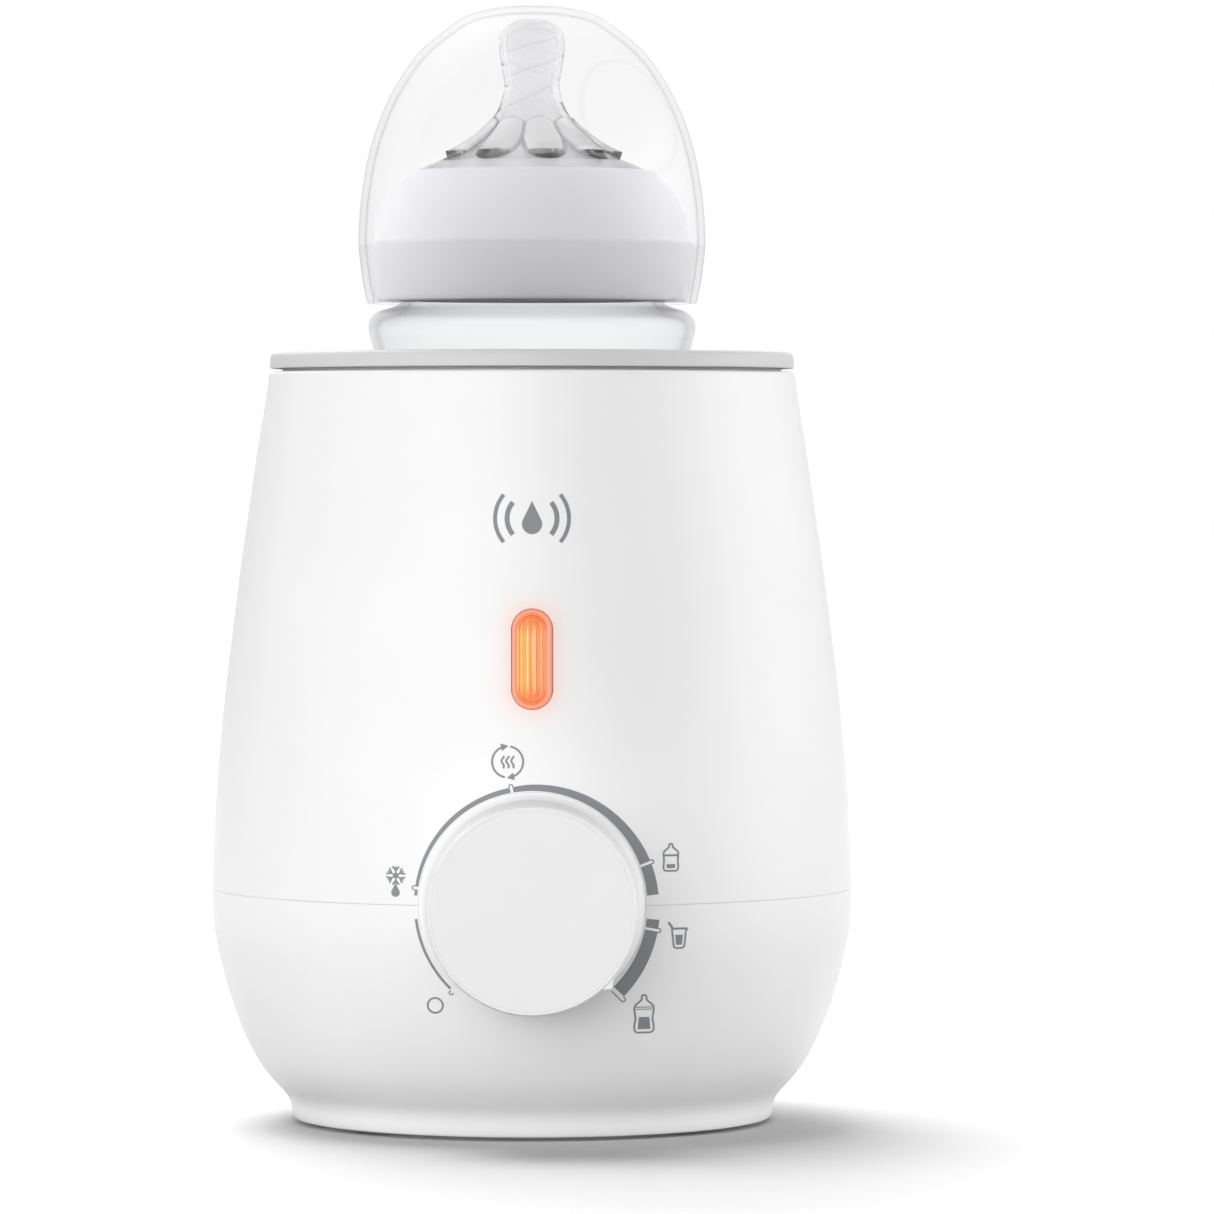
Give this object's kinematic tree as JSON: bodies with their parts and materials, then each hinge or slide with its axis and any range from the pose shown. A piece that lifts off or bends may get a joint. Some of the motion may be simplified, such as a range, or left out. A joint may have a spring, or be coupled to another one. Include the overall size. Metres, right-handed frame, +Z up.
{
  "type": "baby bottle warmer",
  "caption": "Countertop baby bottle warmer: barrel housing, grey rim, front dial and lamp, heated well, with a capped feeding bottle standing in it.",
  "frame": {"origin": "on the table, in the middle of the foot", "axes": "+Z up along the barrel and the bottle, -Y to the front, where the dial and lamp are, +X to the right seen from the front"},
  "size_m": [0.1332, 0.1642, 0.2319],
  "materials": {
    "housing_white": "satin moulded",
    "rim_grey": "satin moulded",
    "dial_white": "fine satin",
    "well_plastic": "smooth moulded",
    "steel": "zinc plated",
    "heating_plate": "turned and brushed",
    "brass": "machined",
    "aluminium": "extruded",
    "seal_silicone": "matt moulded",
    "phenolic": "moulded",
    "ceramic": "glazed",
    "circuit_board": "solder resist",
    "led_resin": "gloss",
    "lens_amber": "translucent, lit from behind",
    "lamp_housing_white": "moulded",
    "foot_rubber": "matt",
    "cord_sheath": "matt",
    "insulation_brown": "matt",
    "insulation_blue": "matt",
    "bottle_clear": "clear gloss",
    "cap_clear": "clear gloss",
    "ring_white": "satin gloss",
    "teat_silicone": "translucent matt"
  },
  "bodies": {
    "warmer": {"upper_housing": "housing_white", "lower_housing": "housing_white", "top_ring": "rim_grey", "dial_bezel": "dial_white", "base_plate": "housing_white", "cord_clamp": "housing_white", "lamp_housing": "lamp_housing_white", "water_chamber": "well_plastic", "heating_plate": "heating_plate", "plate_gasket": "seal_silicone", "plate_retainer": "aluminium", "ptc_heater": "aluminium", "heater_clamp": "steel", "thermal_fuse": "ceramic", "thermostat_body": "phenolic", "thermostat_bush": "brass", "bush_nut": "steel", "contact_leaf": "brass", "terminal_line": "brass", "terminal_load": "brass", "indicator_lens": "lens_amber", "indicator_led": "led_resin", "control_board": "circuit_board", "cord_grommet": "cord_sheath", "cord_stub": "cord_sheath", "live_lead": "insulation_brown", "heater_lead": "insulation_brown", "neutral_lead": "insulation_blue", "fuse_lead": "insulation_blue", "base_screw_1": "steel", "foot_pad_1": "foot_rubber", "base_screw_2": "steel", "foot_pad_2": "foot_rubber", "base_screw_3": "steel", "foot_pad_3": "foot_rubber", "base_screw_4": "steel", "foot_pad_4": "foot_rubber", "retainer_screw_1": "steel", "retainer_screw_2": "steel", "retainer_screw_3": "steel", "strap_screw_1": "steel", "clamp_screw_1": "steel", "strap_screw_2": "steel", "clamp_screw_2": "steel"},
    "control": {"knob": "dial_white", "knob_clip": "steel", "control_shaft": "brass"},
    "adjuster": {"adjuster_pin": "ceramic"},
    "bottle": {"bottle": "bottle_clear"},
    "teat": {"teat": "teat_silicone"},
    "screw_ring": {"screw_ring": "ring_white"},
    "dome_cap": {"dome_cap": "cap_clear"}
  },
  "joints": [
    {"name": "knob_turn", "type": "hinge", "parent": "warmer", "child": "control", "pos_m": [0, -0.075, 0.0486], "axis": [0, -1, 0], "range_deg": [0, 270]},
    {"name": "adjuster_travel", "type": "slide", "parent": "warmer", "child": "adjuster", "axis": [0, -1, 0], "range_m": [0, 0.0011]},
    {"name": "bottle_lift", "type": "slide", "parent": "warmer", "child": "bottle", "axis": [0, 0, 1], "range_m": [0, 0.13]},
    {"name": "teat_rise", "type": "slide", "parent": "bottle", "child": "teat", "axis": [0, 0, 1], "range_m": [0, 0.0127]},
    {"name": "ring_unscrew", "type": "hinge", "parent": "teat", "child": "screw_ring", "pos_m": [0, 0, 0.18], "axis": [0, 0, 1], "range_deg": [0, 540]},
    {"name": "cap_lift", "type": "slide", "parent": "screw_ring", "child": "dome_cap", "axis": [0, 0, 1], "range_m": [0, 0.07]}
  ],
  "couplings": [
    {"joint": "adjuster_travel", "follows": "knob_turn", "m_per_rad": 0.00022876},
    {"joint": "teat_rise", "follows": "ring_unscrew", "m_per_rad": 0.0013369}
  ]
}
